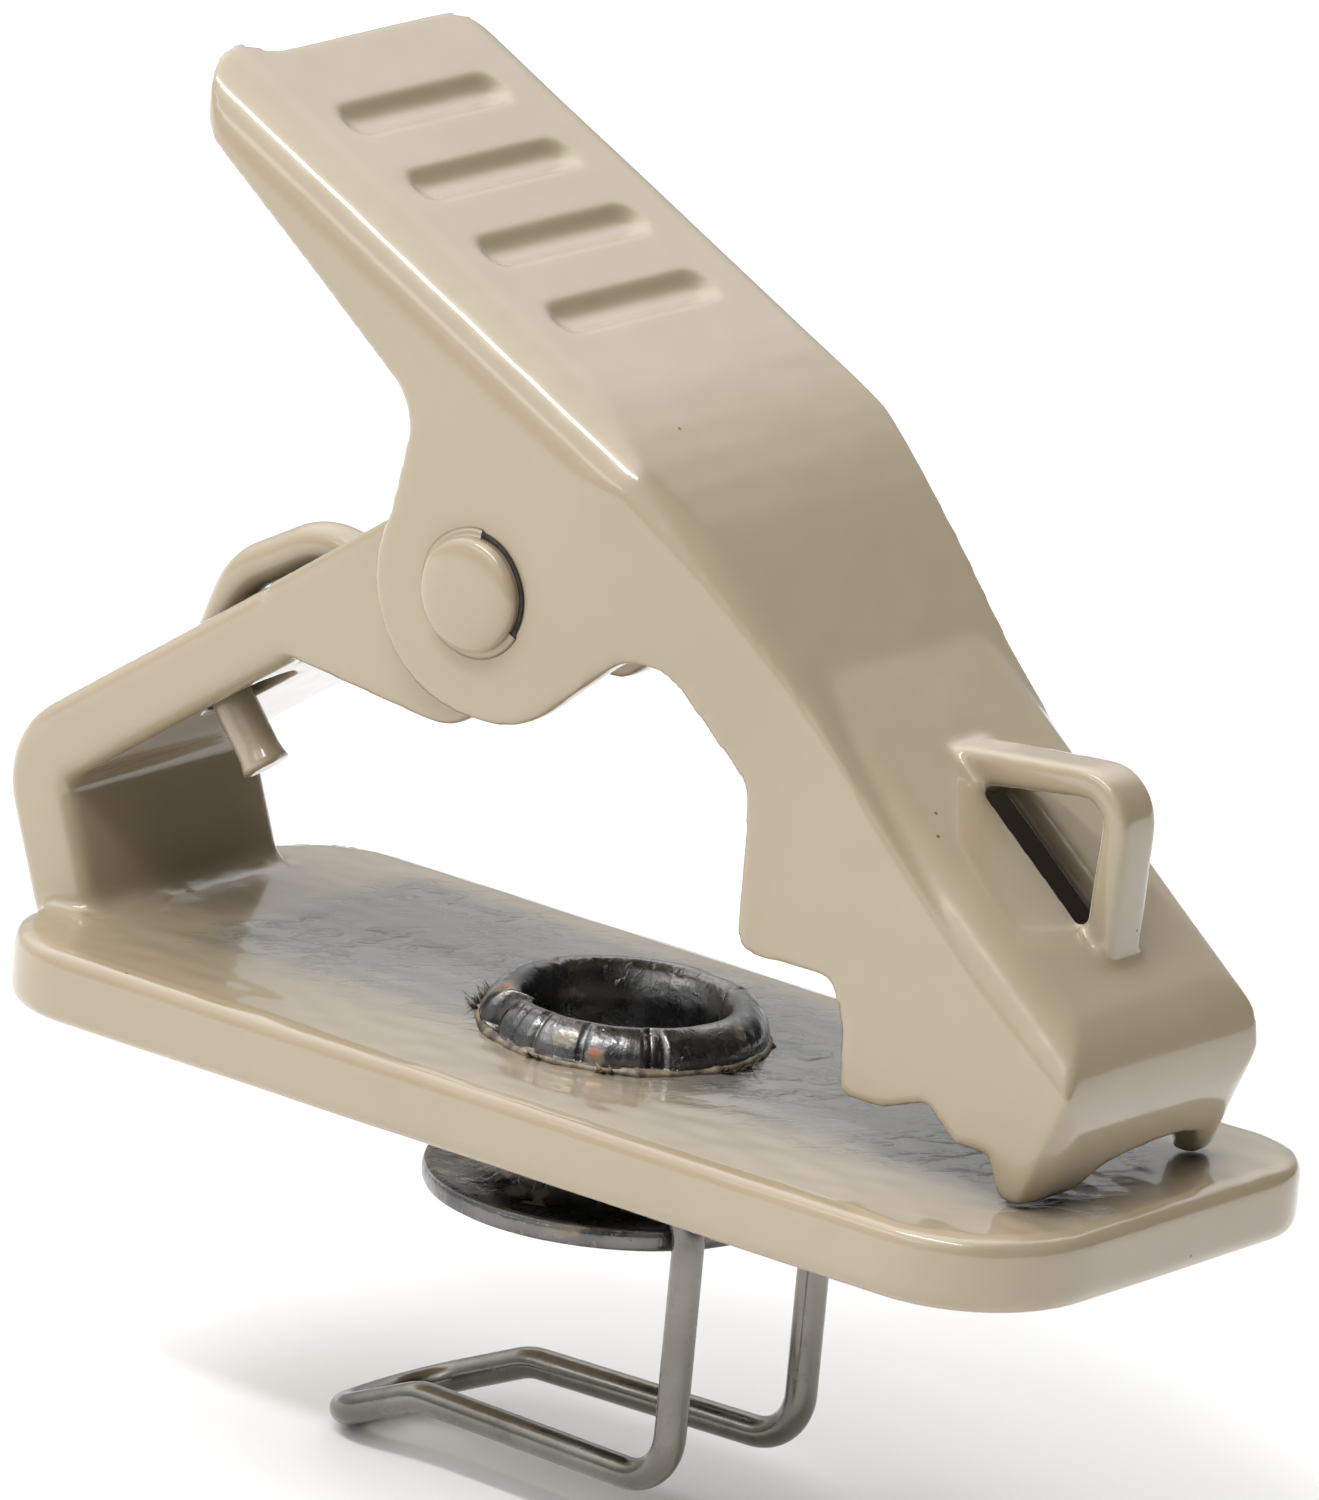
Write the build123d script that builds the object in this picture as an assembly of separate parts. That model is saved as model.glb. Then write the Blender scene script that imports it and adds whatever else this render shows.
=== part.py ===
"""Miniature microphone tie clip: a spring jaw clip with a swivelling wire cradle.

Millimetres. +X points to the nose, +Y across, +Z up. The origin is on the axis of the
eyelet, level with the top face of the lower jaw's plate. Rest is the closed clip.
"""
import os
from math import acos, asin, atan2, cos, degrees, hypot, radians, sin, tan

from build123d import *

# ---- driving dimensions -------------------------------------------------------------
# lower jaw: one strip of sheet, with a flat plate, rear wall, rising roof and two ears
sheet = 1.6                     # thickness of the lower strip with its enamel
plate_half = 5.5
plate_front, plate_rear = 13.5, -12.35
near_corner, far_corner, rear_corner = 2.9, 1.8, 2.3
neck_half = 3.12                # half width of the rear wall and roof
foot_x = -11.16                 # inner corner between plate and rear wall
wall_lean = 20.7                # rear wall leans back from upright, degrees
bend_z = 2.485                  # height of the inner corner between wall and roof
roof_rise = 35.75               # slope of the roof, degrees
roof_length = 7.3               # from the inner corner to the roof's front edge
foot_inner_r, bend_inner_r = 0.5, 0.3
edge_round = 0.38               # soft painted edges of the thick strip

# hinge rivet
pivot_x, pivot_z = -1.75, 9.15
shank_r = 0.75
head_r, head_rise, head_edge = 1.15, 0.55, 0.15
hinge_clearance = 0.05
head_gap = 0.03

# lower ears
lower_ear = 0.85                # thickness
lower_ear_r = 2.09
ear_stands_out = 0.03           # the ears stand this far outside the roof's edges
ear_edge_round = 0.15

# upper jaw: a folded channel lever
skin = 0.65                     # thickness of the upper sheet with its enamel
grip_half = 4.25                # half width over the grip and pivot ears
nose_half, tip_half = 3.32, 3.05
jaw_shift = 0.4                 # the upper jaw and rivet sit this far off the centre
upper_ear_r = 2.52
tail_x, tail_z = -9.75, 18.22   # rear end of the grip's top face, at its near corner
tail_lobe = 0.3                 # the near corner stands this far behind the rear edge
tail_round = 1.4                # far rear corner of the grip, in plan
brow_x, brow_z = 1.8, 12.58    # first bend of the top face
waist_x, waist_z = 5.45, 9.0    # second bend of the top face
nose_x, nose_z = 13.1, 2.88     # front bend of the top face
chin_x = 12.0                   # foot of the nose's front face
tip_gap = 0.03                  # air between the closed tips and the plate
fold_near, fold_far = 1.3, 0.75
nose_round = 1.2                # upright corners of the nose, in plan

groove_first_x, groove_pitch, groove_count = -7.36, 1.845, 4
groove_half, groove_r, groove_depth, groove_end = 2.55, 0.6, 0.19, 0.5
groove_y = 0.12

# cable loop lanced out of the nose
loop_width, slot_width, loop_edge_round = 1.2, 1.2, 0.18
loop_y, slot_y = 0.22, 0.36

# eyelet, a clinched tubular rivet
bore_r, barrel_r, shoulder_r = 1.85, 2.2, 2.3
rim_r, rim_top = 2.9, 0.78
flange_r, flange_top, flange_bottom = 3.75, -2.95, -3.45

# microphone cradle, one bent wire
wire_r = 0.325
wrap_gap = 0.05
wrap_z = -2.2
leg_x, leg_half = 3.6, 2.1
run_z = -8.1
heel_x, heel_half = -2.85, 1.75
end_x, end_half, end_z = -5.45, 1.5, -9.25
top_bend_r, front_bend_r, heel_bend_r, end_bend_r = 0.9, 1.05, 1.3, 1.3
butt_gap_angle = 3.0            # half the gap between the wire's two ends, degrees

# torsion spring
spring_wire_r = 0.45
coil_r, coil_turns, coil_pitch = 1.35, 3, 1.06
coil_ease = 0.15                # part of a turn over which the pitch starts and ends
hook_end = (-8.05, 3.65)        # sheared end of the leg below the roof
hook_top = (-9.68, 5.57)
arch_rear = (-9.02, 7.45)
arch_front = (-7.02, 8.6)
hook_r, arch_r = 0.65, 1.6
web_arm_tip = (-7.15, 15.58)
spring_slot = (3.86, 4.75)      # centres of the slot's round ends, along the roof
spring_slot_r = 0.6
spring_notch = 6.2              # the roof's front edge is cut back to here between the ears

roof_angle = radians(roof_rise)
bend_x = foot_x - bend_z * tan(radians(wall_lean))


# ---- small helpers ------------------------------------------------------------------
def offset_path(points, distance):
    """The corners of the open XZ polyline that runs a fixed distance to the left."""
    headings = [atan2(b[1] - a[1], b[0] - a[0]) for a, b in zip(points, points[1:])]
    before = [headings[0]] + headings
    after = headings + [headings[-1]]
    shifted = []
    for (x, z), first, last in zip(points, before, after):
        middle = (first + last) / 2
        reach = distance / cos((last - first) / 2)
        shifted.append((x - reach * sin(middle), z + reach * cos(middle)))
    return shifted


def rounded_face(corners):
    """A face in the XZ plane. Each corner is (x, z, radius)."""
    outline = Polyline(*[(x, 0, z) for x, z, radius in corners], close=True)
    face = make_face(outline)
    for x, z, radius in corners:
        if radius > 0:
            corner = face.vertices().sort_by_distance((x, 0, z))[0]
            face = fillet(corner, radius)
    return face


def across(face, y_low, y_high):
    """An XZ face pushed out between two Y values."""
    return extrude(Pos(0, y_low, 0) * face, y_high - y_low, dir=(0, 1, 0))


def bar(radius, y_low, y_high, x=pivot_x, z=pivot_z):
    """A round bar along Y."""
    return Pos(x, (y_low + y_high) / 2, z) * Rot(90, 0, 0) * Cylinder(radius, y_high - y_low)


def with_mirror(solid):
    return solid + mirror(solid, Plane.XZ)


def roof_point(along, out):
    """A point given by its place along the roof and its height over the underside."""
    x = bend_x + along * cos(roof_angle) - out * sin(roof_angle)
    z = bend_z + along * sin(roof_angle) + out * cos(roof_angle)
    return x, z


def wire_along(path, radius):
    start = path @ 0
    heading = path % 0
    section = Plane(origin=start, z_dir=heading) * Circle(radius)
    return sweep(section, path=path)


# ---- lower jaw ----------------------------------------------------------------------
def lower_plate():
    middle = (plate_front + plate_rear) / 2
    plate = Pos(middle, 0, -sheet / 2) * Box(plate_front - plate_rear, 2 * plate_half, sheet)
    near, far = plate.edges().filter_by(Axis.Z).group_by(Axis.X)[-1].sort_by(Axis.Y)
    plate = fillet(near, near_corner)
    far = plate.edges().filter_by(Axis.Z).group_by(Axis.Y)[-1].sort_by(Axis.X)[-1]
    plate = fillet(far, far_corner)
    plate = fillet(plate.edges().filter_by(Axis.Z).group_by(Axis.X)[0], rear_corner)
    faces = plate.faces().sort_by(Axis.Z)
    plate = fillet(faces[-1].edges() + faces[0].edges(), edge_round)
    # the neck leaves the plate where the foot bend begins
    bend_start = foot_x + foot_inner_r * tan(radians(90 - wall_lean) / 2)
    return plate - Pos(bend_start - 5, 0, -sheet / 2) * Box(10, 2 * neck_half, 3 * sheet)


def lower_strip():
    """Plate root, rear wall and roof as one bent strip."""
    inner = [(foot_x + 4, 0), (foot_x, 0), (bend_x, bend_z), roof_point(roof_length, 0)]
    outer = offset_path(inner, sheet)
    inner_radii = [0, foot_inner_r, bend_inner_r, 0.2]
    outer_radii = [0, foot_inner_r + sheet, bend_inner_r + sheet, 0.5]
    corners = [(x, z, r) for (x, z), r in zip(inner, inner_radii)]
    corners += [(x, z, r) for (x, z), r in reversed(list(zip(outer, outer_radii)))]
    strip = across(rounded_face(corners), -neck_half, neck_half)
    sides = strip.faces().sort_by(Axis.Y)
    return fillet(sides[0].edges() + sides[-1].edges(), edge_round)


def lower_ear_pair():
    """The tabs at the roof's sides that carry the rivet."""
    corners = [
        (*roof_point(6.75, sheet), 0.4),
        (*roof_point(12.3, sheet), 0),
        (*roof_point(12.3, -2.6), 0),
        (*roof_point(9.7, -2.68), 1.2),
        (*roof_point(6.1, 0.55), 0.5),
    ]
    outside = neck_half + ear_stands_out
    ear = across(rounded_face(corners), outside - lower_ear, outside)
    ear += bar(lower_ear_r, outside - lower_ear, outside)
    ear = fillet(ear.faces().sort_by(Axis.Y)[-1].edges(), ear_edge_round)
    return with_mirror(ear)


def spring_openings():
    """Slot for the spring's hooked leg, and the cut-back front edge under its arch."""
    along = (cos(roof_angle), 0, sin(roof_angle))
    out = (-sin(roof_angle), 0, cos(roof_angle))
    x, z = roof_point(sum(spring_slot) / 2, 0)
    slot = SlotCenterToCenter(spring_slot[1] - spring_slot[0], 2 * spring_slot_r)
    slot = extrude(Plane((x, -spring_y(), z), along, out) * slot, 2 * sheet, both=True)
    x, z = roof_point(spring_notch, 0)
    notch = Box(5, 2 * (neck_half - lower_ear), 4 * sheet, align=(Align.MIN, Align.CENTER, Align.CENTER))
    return slot + Plane((x, 0, z), along, out) * notch


def lower_jaw():
    jaw = lower_plate() + lower_strip() + lower_ear_pair()
    jaw -= bar(shank_r, -grip_half, grip_half)
    jaw -= Pos(0, 0, -sheet / 2) * Cylinder(barrel_r, 2 * sheet)
    return jaw - spring_openings()


# ---- upper jaw ----------------------------------------------------------------------
top_path = [
    (tail_x, tail_z), (brow_x, brow_z), (waist_x, waist_z), (nose_x, nose_z),
    (chin_x, tip_gap),
]
top_radii = [0, 15.0, 22.0, 2.0, 0.45]


def upper_side_face():
    """Side outline: top face, nose, toothed edge, pivot ear and the grip's lower edge."""
    teeth = [
        (11.25, tip_gap, 0.35), (10.93, 0.84, 0.15), (10.15, 0.84, 0.3), (9.45, 1.52, 0.3),
        (8.35, 1.12, 0.5), (7.3, 1.12, 0.35), (7.28, 2.35, 0.6), (6.95, 3.4, 0.45),
        (4.75, 3.38, 0.5), (4.66, 6.75, 1.0),
    ]
    throat = [(2.8, 8.55, 1.0), (1.85, 8.66, 1.0), (-0.45, 6.58, 2.3), (pivot_x, 6.63, 0)]
    rear = [(-4.15, 9.6, 0), (-3.65, 12.45, 1.2), (tail_x, 16.95, 0.6)]
    corners = [(x, z, r) for (x, z), r in zip(top_path, top_radii)]
    return rounded_face(corners + teeth + throat + rear)


def plan_solid(corners):
    """An upright solid over a plan outline. Each corner is (x, y, radius)."""
    face = make_face(Polyline(*[(x, y, 0) for x, y, r in corners], close=True))
    for x, y, radius in corners:
        if radius > 0:
            face = fillet(face.vertices().sort_by_distance((x, y, 0))[0], radius)
    return extrude(Pos(0, 0, -2) * face, 24)


def upper_plan(inset):
    """Plan outline of the channel, wide at the grip and narrow at the nose."""
    sides = [(0.8, grip_half, 10.0), (5.8, nose_half, 8.0), (nose_x + 2, tip_half, 0)]
    sides = [(x, y - inset, r) for x, y, r in sides]
    near_side = [(x, -y, r) for x, y, r in reversed(sides)]
    rear_x, rear_y = tail_x + tail_lobe, grip_half - inset
    if inset > 0:
        return plan_solid([(tail_x - 5, rear_y, 0)] + sides + near_side + [(tail_x - 5, -rear_y, 0)])
    lobe = [(tail_x, -rear_y, 0.9), (tail_x, -2.8, 0.45), (rear_x, -2.2, 0.45)]
    return plan_solid([(rear_x, rear_y, tail_round)] + sides + near_side + lobe)


def nose_corners():
    """Everything behind the front face, with the nose's upright corners rounded."""
    foot = chin_x - 2 * (nose_x - chin_x) / (nose_z - tip_gap)
    lean = Vector(nose_x - chin_x, 0, nose_z - tip_gap)
    half = [(-40, 9, 0), (2, 9, 0), (foot, tip_half, nose_round)]
    corners = half + [(x, -y, r) for x, y, r in reversed(half)]
    face = make_face(Polyline(*[(x, y, 0) for x, y, r in corners], close=True))
    for x, y, radius in corners:
        if radius > 0:
            face = fillet(face.vertices().sort_by_distance((x, y, 0))[0], radius)
    return extrude(Pos(0, 0, tip_gap - 2) * face, 30, dir=lean.normalized())


def folded_under(start, end, half):
    """The space under one flat stretch of the top face, with its two folds rounded."""
    heading = atan2(end[1] - start[1], end[0] - start[0])
    block = Box(80, 2 * half, 60, align=(Align.CENTER, Align.CENTER, Align.MAX))
    for side, radius in ((0, fold_near), (-1, fold_far)):
        top_edges = block.edges().filter_by(Axis.X).group_by(Axis.Z)[-1]
        block = fillet(top_edges.sort_by(Axis.Y)[side], radius)
    return Pos(start[0], 0, start[1]) * Rot(0, -degrees(heading), 0) * block


def folded_envelope():
    """Everything under the whole top face. The waist is the only hollow bend."""
    tail, brow, waist, nose, chin = top_path
    front = folded_under(brow, waist, grip_half) + folded_under(waist, nose, nose_half)
    return front & folded_under(tail, brow, grip_half) & nose_corners()


def upper_inside():
    """The hollow of the channel, open below and at the tail."""
    inner = offset_path(top_path, -skin)
    tail, brow, waist, nose, chin = top_radii
    radii = [0, brow - skin, waist + skin, nose - skin]
    corners = [(x, z, r) for (x, z), r in zip(inner[:4], radii)]
    corners[0] = (tail_x - 3, tail_z + 3 * 0.48 - skin / cos(atan2(0.48, 1)), 0)
    corners += [(inner[4][0] - 0.8, -2, 0), (tail_x - 3, -2, 0)]
    return across(rounded_face(corners), -grip_half, grip_half) & upper_plan(skin)


def grip_grooves():
    """Shallow round grooves pressed across the grip, for the thumb."""
    slope = atan2(brow_z - tail_z, brow_x - tail_x)
    lift = groove_r - groove_depth
    tools = None
    for count in range(groove_count):
        x = groove_first_x + count * groove_pitch
        z = tail_z + (x - tail_x) * tan(slope)
        centre_x, centre_z = x - lift * sin(slope), z + lift * cos(slope)
        tool = Rot(90, 0, 0) * Cylinder(groove_r, 2 * groove_half)
        tool = fillet(tool.edges().filter_by(GeomType.CIRCLE), groove_end)
        tool = Pos(centre_x, groove_y, centre_z) * tool
        tools = tool if tools is None else tools + tool
    return tools


def cable_loop():
    """The strap that stands out of the nose over its slot."""
    outer = [(6.9, 7.25, 0), (7.05, 7.65, 0.55), (11.5, 8.12, 1.1), (11.35, 4.1, 0.2), (10.3, 4.3, 0)]
    inner = [(7.95, 7.0, 0.1), (10.85, 7.43, 0.45), (10.7, 4.82, 0.1)]
    profile = rounded_face(outer) - rounded_face(inner)
    loop = across(profile, loop_y - loop_width / 2, loop_y + loop_width / 2)
    sides = loop.faces().filter_by(Axis.Y)
    return fillet(sides.edges(), loop_edge_round)


def loop_slot():
    corners = [(7.98, 7.14, 0), (10.69, 4.95, 0), (9.85, 3.5, 0), (7.1, 5.9, 0)]
    return across(rounded_face(corners), slot_y - slot_width / 2, slot_y + slot_width / 2)


def lip_arch():
    """The front face's lower edge rises between the two tips."""
    near_foot = [(-1.6, -1), (-1.55, 0.1), (-1.0, 0.5), (0, 0.7)]
    points = near_foot + [(1.2, 0.76), (2.0, 0.68), (2.3, 0.1), (2.35, -1)]
    face = make_face(Polyline(*[(10.4, y, z) for y, z in points], close=True))
    return extrude(face, 4, dir=(1, 0, 0))


def upper_jaw():
    outside = across(upper_side_face(), -grip_half - 1, grip_half + 1)
    outside += bar(upper_ear_r, -grip_half, grip_half)
    shell = outside & upper_plan(0) & folded_envelope()
    shell = shell - upper_inside() - grip_grooves() - lip_arch()
    shell -= bar(shank_r + hinge_clearance, -grip_half - 1, grip_half + 1)
    return Pos(0, jaw_shift, 0) * (shell + cable_loop() - loop_slot())


# ---- rivet, eyelet ------------------------------------------------------------------
def hinge_rivet():
    """Shank with a domed head outside each upper ear."""
    start = grip_half + head_gap
    edge = start + head_edge
    crown = edge + head_rise
    dome_r = (head_r ** 2 + head_rise ** 2) / (2 * head_rise)
    middle = crown - dome_r + dome_r * cos(asin(head_r / 2 / dome_r))
    far_dome = ThreePointArc((head_r, edge), (head_r / 2, middle), (0, crown))
    near_dome = ThreePointArc((0, -crown), (head_r / 2, -middle), (head_r, -edge))
    side = Polyline(
        (head_r, -edge), (head_r, -start), (shank_r, -start),
        (shank_r, start), (head_r, start), (head_r, edge),
    )
    section = make_face(near_dome + side + far_dome + Line((0, crown), (0, -crown)))
    return Pos(pivot_x, jaw_shift, pivot_z) * revolve(section, Axis.Y)


def eyelet():
    """Tubular rivet clinched over the plate, with a wide flange under the cradle."""
    mouth = bore_r + 0.5
    section = rounded_face([
        (bore_r, flange_bottom + 0.55, 0.4), (bore_r, 0.1, 0.3), (2.12, rim_top - 0.1, 0.2),
        (2.45, rim_top, 0.2), (rim_r, 0.4, 0.3), (rim_r - 0.05, 0, 0.05), (barrel_r, 0, 0),
        (barrel_r, -sheet, 0), (shoulder_r, -sheet, 0), (shoulder_r, flange_top, 0),
        (flange_r, flange_top, 0.2), (flange_r - 0.05, flange_bottom, 0.15), (mouth, flange_bottom, 0.3),
    ])
    return revolve(section, Axis.Z)


# ---- microphone cradle --------------------------------------------------------------
def cradle_half():
    """One side of the wire, from behind the barrel to the middle of the lower end."""
    wrap_r = shoulder_r + wrap_gap + wire_r
    reach = hypot(leg_x, leg_half)
    leave = degrees(atan2(-leg_half, leg_x) - acos(wrap_r / reach))
    turn = 180 - butt_gap_angle + leave
    wrap = Pos(0, 0, wrap_z) * CenterArc((0, 0), wrap_r, 180 + butt_gap_angle, turn)
    last = wrap @ 1
    run = FilletPolyline(
        last, (leg_x, -leg_half, wrap_z), (leg_x, -leg_half, run_z),
        (heel_x, -heel_half, run_z), (end_x, -end_half, end_z), (end_x, 0, end_z),
        radius=[top_bend_r, front_bend_r, heel_bend_r, end_bend_r],
    )
    return wrap + run


def mic_cradle():
    half = wire_along(Wire(cradle_half().edges()), wire_r)
    return half + mirror(half, Plane.XZ)


# ---- torsion spring -----------------------------------------------------------------
def tangent_angle(point, side):
    """Angle on the coil where a straight line from the point touches it."""
    dx, dz = point[0] - pivot_x, point[1] - pivot_z
    return atan2(dz, dx) + side * acos(coil_r / hypot(dx, dz))


def on_coil(angle, y):
    return pivot_x + coil_r * cos(angle), y, pivot_z + coil_r * sin(angle)


def coil_total_turns():
    swept = tangent_angle(web_arm_tip, -1) - tangent_angle(arch_front, 1)
    return coil_turns + (degrees(swept) % 360) / 360


def spring_y():
    """Half the distance between the two arms."""
    return coil_total_turns() * coil_pitch / 2


def eased(turned):
    """Turns counted with a slow start and end, so the coil leaves its arms square."""
    total = coil_total_turns()
    if turned < coil_ease:
        return turned ** 2 / (2 * coil_ease)
    if total - turned < coil_ease:
        return total - coil_ease - (total - turned) ** 2 / (2 * coil_ease)
    return turned - coil_ease / 2


def coil_path():
    total = coil_total_turns()
    steps = 45
    enter = tangent_angle(arch_front, 1)
    points = []
    for step in range(steps + 1):
        turned = total * step / steps
        y = spring_y() * (2 * eased(turned) / (total - coil_ease) - 1)
        points.append(on_coil(enter + radians(360 * turned), y))
    return Spline(*points)


def torsion_spring():
    """Hooked leg, coil round the rivet and straight arm, as one wire."""
    near, far = -spring_y(), spring_y()
    hook = FilletPolyline(
        *[(x, near, z) for x, z in (hook_end, hook_top, arch_rear, arch_front)],
        on_coil(tangent_angle(arch_front, 1), near),
        radius=[hook_r, arch_r, arch_r],
    )
    arm = Line(
        on_coil(tangent_angle(web_arm_tip, -1), far), (web_arm_tip[0], far, web_arm_tip[1])
    )
    path = Wire(hook.edges() + coil_path().edges() + arm.edges())
    return wire_along(path, spring_wire_r)


# ---- write the sub-parts ------------------------------------------------------------
makers = {
    "lower_jaw": lower_jaw,
    "upper_jaw": upper_jaw,
    "hinge_rivet": hinge_rivet,
    "torsion_spring": torsion_spring,
    "eyelet": eyelet,
    "mic_cradle": mic_cradle,
}
os.makedirs("parts", exist_ok=True)
for name, maker in makers.items():
    export_step(maker(), f"parts/{name}.step")
    print("wrote", name)
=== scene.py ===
import random
from math import acos, atan2, ceil, cos, degrees, hypot, pi, radians, sin, tan

import bmesh
import bpy
import numpy as np
from mathutils import Matrix, Vector, noise


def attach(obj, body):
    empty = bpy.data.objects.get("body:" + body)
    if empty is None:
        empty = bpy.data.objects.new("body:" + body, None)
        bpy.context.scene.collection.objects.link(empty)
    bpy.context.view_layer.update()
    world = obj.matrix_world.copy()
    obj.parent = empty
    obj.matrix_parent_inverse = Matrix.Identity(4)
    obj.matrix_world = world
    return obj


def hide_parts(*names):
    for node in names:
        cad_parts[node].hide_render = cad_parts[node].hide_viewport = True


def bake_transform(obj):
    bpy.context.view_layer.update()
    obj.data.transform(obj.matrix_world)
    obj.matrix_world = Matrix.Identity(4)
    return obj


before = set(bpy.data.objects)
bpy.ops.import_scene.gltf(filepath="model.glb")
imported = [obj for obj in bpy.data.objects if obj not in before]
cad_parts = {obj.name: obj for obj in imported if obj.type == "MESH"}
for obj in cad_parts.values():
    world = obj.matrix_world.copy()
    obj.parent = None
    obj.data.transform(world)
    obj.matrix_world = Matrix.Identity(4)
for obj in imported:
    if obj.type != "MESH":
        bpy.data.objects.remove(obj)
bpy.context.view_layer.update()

MM = 0.001

# Sizes below are in millimetres, in the part's frame.
PIVOT = (-1.75, 9.15)
GRIP_HALF = 4.25
JAW_SHIFT = 0.4
FLOOR_Z = -9.62


# ---- materials ------------------------------------------------------------------------
class Nodes:
    """A material's node tree with short calls for the nodes used here."""

    def __init__(self, name):
        self.material = bpy.data.materials.new(name)
        self.material.use_nodes = True
        self.tree = self.material.node_tree
        self.shader = self.tree.nodes["Principled BSDF"]
        self.position = self.add("ShaderNodeTexCoord").outputs["Object"]

    def add(self, kind, **values):
        """A new node with the given properties."""
        node = self.tree.nodes.new(kind)
        for key, value in values.items():
            setattr(node, key, value)
        return node

    def join(self, source, target):
        self.tree.links.new(source, target)

    def scaled(self, per_mm):
        """Object coordinates in cycles per millimetre."""
        mapping = self.add("ShaderNodeMapping")
        mapping.inputs["Scale"].default_value = [value / MM for value in per_mm]
        self.join(self.position, mapping.inputs["Vector"])
        return mapping.outputs["Vector"]

    def noise(self, per_mm, detail=3.0, roughness=0.5, distortion=0.0, turned=None, stretch=None):
        """Smooth noise from 0 to 1, drawn out along a turned direction if one is given."""
        node = self.add("ShaderNodeTexNoise")
        coordinates = self.scaled(per_mm)
        if turned is not None:
            turn = self.add("ShaderNodeMapping")
            turn.inputs["Rotation"].default_value = turned
            self.join(coordinates, turn.inputs["Vector"])
            squeeze = self.add("ShaderNodeMapping")
            squeeze.inputs["Scale"].default_value = stretch
            self.join(turn.outputs["Vector"], squeeze.inputs["Vector"])
            coordinates = squeeze.outputs["Vector"]
        self.join(coordinates, node.inputs["Vector"])
        node.inputs["Scale"].default_value = 1.0
        node.inputs["Detail"].default_value = detail
        node.inputs["Roughness"].default_value = roughness
        node.inputs["Distortion"].default_value = distortion
        return node.outputs["Fac"]

    def cells(self, per_mm):
        """Distance to the nearest of many scattered points."""
        node = self.add("ShaderNodeTexVoronoi", feature="F1")
        self.join(self.scaled(per_mm), node.inputs["Vector"])
        node.inputs["Scale"].default_value = 1.0
        return node.outputs["Distance"]

    def spread(self, value, low, high, to_low=0.0, to_high=1.0):
        """Stretches the range low to high to another range, clamped."""
        node = self.add("ShaderNodeMapRange")
        self.join(value, node.inputs["Value"])
        node.inputs["From Min"].default_value = low
        node.inputs["From Max"].default_value = high
        node.inputs["To Min"].default_value = to_low
        node.inputs["To Max"].default_value = to_high
        return node.outputs["Result"]

    def math(self, operation, a, b):
        node = self.add("ShaderNodeMath", operation=operation)
        for socket, value in zip(node.inputs, (a, b)):
            if isinstance(value, (int, float)):
                socket.default_value = value
            else:
                self.join(value, socket)
        return node.outputs["Value"]

    def blend(self, factor, a, b):
        """Colour a where the factor is 0, colour b where it is 1."""
        node = self.add("ShaderNodeMix", data_type="RGBA")
        self.join(factor, node.inputs["Factor"])
        colours = [socket for socket in node.inputs if socket.type == "RGBA"]
        for socket, value in zip(colours, (a, b)):
            if isinstance(value, tuple):
                socket.default_value = (*value, 1.0)
            else:
                self.join(value, socket)
        return [socket for socket in node.outputs if socket.type == "RGBA"][0]

    def bump(self, height, depth_mm, previous=None):
        node = self.add("ShaderNodeBump")
        node.inputs["Strength"].default_value = 1.0
        node.inputs["Distance"].default_value = depth_mm * MM
        self.join(height, node.inputs["Height"])
        if previous is not None:
            self.join(previous, node.inputs["Normal"])
        return node.outputs["Normal"]

    def wire_up(self, **sockets):
        """Sets or links the shader's sockets and gives the material."""
        for key, value in sockets.items():
            socket = self.shader.inputs[key.replace("_", " ")]
            if isinstance(value, (int, float)):
                socket.default_value = value
            elif isinstance(value, tuple):
                socket.default_value = (*value, 1.0)
            else:
                self.join(value, socket)
        return self.material

    def attribute(self, name):
        """A value stored with the mesh's points."""
        return self.add("ShaderNodeAttribute", attribute_name=name).outputs["Fac"]

    def crevice_shade(self, reach_mm, low, high, most):
        """Painted shade: grows from 0 in the open to the given most in deep corners."""
        node = self.add("ShaderNodeAmbientOcclusion")
        node.samples = 8
        node.inputs["Distance"].default_value = reach_mm * MM
        return self.spread(node.outputs["AO"], low, high, most, 0.0)

    def up_mask(self, low, high):
        """1 where the surface faces up."""
        geometry = self.add("ShaderNodeNewGeometry")
        split = self.add("ShaderNodeSeparateXYZ")
        self.join(geometry.outputs["Normal"], split.inputs["Vector"])
        return self.spread(split.outputs["Z"], low, high)


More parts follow.
